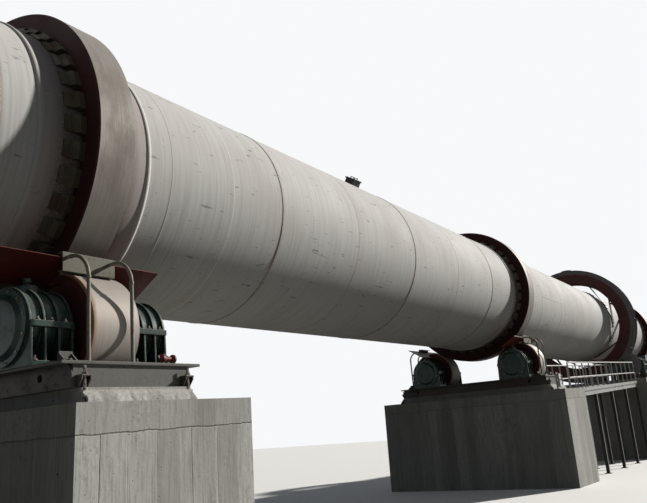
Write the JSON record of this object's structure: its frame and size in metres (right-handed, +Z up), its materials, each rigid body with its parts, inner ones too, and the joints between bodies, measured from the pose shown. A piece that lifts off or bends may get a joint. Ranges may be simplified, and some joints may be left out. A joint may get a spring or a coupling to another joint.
{
  "type": "scale model of a rotary kiln, 1:2",
  "caption": "Long sloping kiln tube with tyres on pairs of support rollers, a guarded girth gear with its drive, and concrete piers, free to turn.",
  "frame": {"origin": "on the ground under the kiln axis, at the foot of the middle pier", "axes": "+Z up, +X along the plan of the kiln from its discharge end up to its feed end"},
  "size_m": [30.4124, 3.3278, 5.331],
  "materials": {
    "concrete": "raw cast concrete with board marks",
    "frame_steel": "weathered grey paint",
    "bearing_green": "dark green painted castings",
    "shield_red": "dark red heat-resistant primer",
    "stand_paint": "faded beige grey paint",
    "guard_red": "brown red primer on sheet",
    "shell_paint": "off-white heat-resistant paint",
    "brick": "fired refractory brick",
    "heat_casting": "scaled heat-resistant casting",
    "tyre_steel": "rolled bright on the running face, red primer on the sides",
    "pad_steel": "burnt oily steel",
    "roller_steel": "rolled bright on the face, red primer on the sides",
    "gear_steel": "greased cast steel",
    "motor_paint": "blue grey machine enamel",
    "rail_paint": "light grey paint",
    "box_paint": "white enamel"
  },
  "bodies": {
    "foundation": {"pier_1": "concrete", "pier_2": "concrete", "pier_3": "concrete", "gear_pier": "concrete", "drive_plinth": "concrete", "base_frame_1": "frame_steel", "base_frame_2": "frame_steel", "base_frame_3": "frame_steel", "bearing_housings_1": "bearing_green", "bearing_housings_2": "bearing_green", "bearing_housings_3": "bearing_green", "heat_shields_1": "shield_red", "heat_shields_2": "shield_red", "heat_shields_3": "shield_red", "shield_stands_1": "stand_paint", "shield_stands_2": "stand_paint", "shield_stands_3": "stand_paint", "gear_guard": "guard_red", "drive_frame": "frame_steel", "pinion_bearings": "bearing_green", "gearbox": "bearing_green", "main_motor": "motor_paint", "walkway_deck": "rail_paint", "walkway_legs": "frame_steel", "railing_near": "rail_paint", "railing_far": "rail_paint", "control_box": "box_paint"},
    "kiln_tube": {"shell": "shell_paint", "refractory_lining": "brick", "nose_ring": "heat_casting", "feed_end_cone": "heat_casting", "manhole_cover": "heat_casting", "tyre_1": "tyre_steel", "tyre_2": "tyre_steel", "tyre_3": "tyre_steel", "tyre_pads_1": "pad_steel", "tyre_pads_2": "pad_steel", "tyre_pads_3": "pad_steel", "girth_gear": "gear_steel", "gear_springs": "gear_steel"},
    "roller_1_near": {"roller_1_near": "roller_steel"},
    "roller_1_far": {"roller_1_far": "roller_steel"},
    "roller_2_near": {"roller_2_near": "roller_steel"},
    "roller_2_far": {"roller_2_far": "roller_steel"},
    "roller_3_near": {"roller_3_near": "roller_steel"},
    "roller_3_far": {"roller_3_far": "roller_steel"},
    "pinion": {"pinion": "gear_steel"}
  },
  "joints": [
    {"name": "kiln_turn", "type": "hinge", "parent": "foundation", "child": "kiln_tube", "pos_m": [0, 0, 3.4], "axis": [0.9994, 0, 0.035], "continuous": true},
    {"name": "roller_1_near_turn", "type": "hinge", "parent": "foundation", "child": "roller_1_near", "pos_m": [-9.24694, -0.81371, 1.72129], "axis": [0.9994, 0, 0.035], "continuous": true},
    {"name": "roller_1_far_turn", "type": "hinge", "parent": "foundation", "child": "roller_1_far", "pos_m": [-9.24694, 0.81371, 1.72129], "axis": [0.9994, 0, 0.035], "continuous": true},
    {"name": "roller_2_near_turn", "type": "hinge", "parent": "foundation", "child": "roller_2_near", "pos_m": [0.04737, -0.81371, 2.04659], "axis": [0.9994, 0, 0.035], "continuous": true},
    {"name": "roller_2_far_turn", "type": "hinge", "parent": "foundation", "child": "roller_2_far", "pos_m": [0.04737, 0.81371, 2.04659], "axis": [0.9994, 0, 0.035], "continuous": true},
    {"name": "roller_3_near_turn", "type": "hinge", "parent": "foundation", "child": "roller_3_near", "pos_m": [13.77896, -0.81371, 2.5272], "axis": [0.9994, 0, 0.035], "continuous": true},
    {"name": "roller_3_far_turn", "type": "hinge", "parent": "foundation", "child": "roller_3_far", "pos_m": [13.77896, 0.81371, 2.5272], "axis": [0.9994, 0, 0.035], "continuous": true},
    {"name": "pinion_turn", "type": "hinge", "parent": "foundation", "child": "pinion", "pos_m": [8.295, -1.1478, 2.4587], "axis": [0.9994, 0, 0.035], "continuous": true}
  ],
  "couplings": [
    {"joint": "roller_1_near_turn", "follows": "kiln_turn", "ratio": -3.1568},
    {"joint": "roller_1_far_turn", "follows": "kiln_turn", "ratio": -3.1568},
    {"joint": "roller_2_near_turn", "follows": "kiln_turn", "ratio": -3.1568},
    {"joint": "roller_2_far_turn", "follows": "kiln_turn", "ratio": -3.1568},
    {"joint": "roller_3_near_turn", "follows": "kiln_turn", "ratio": -3.1568},
    {"joint": "roller_3_far_turn", "follows": "kiln_turn", "ratio": -3.1568},
    {"joint": "pinion_turn", "follows": "kiln_turn", "ratio": -6.2857}
  ]
}
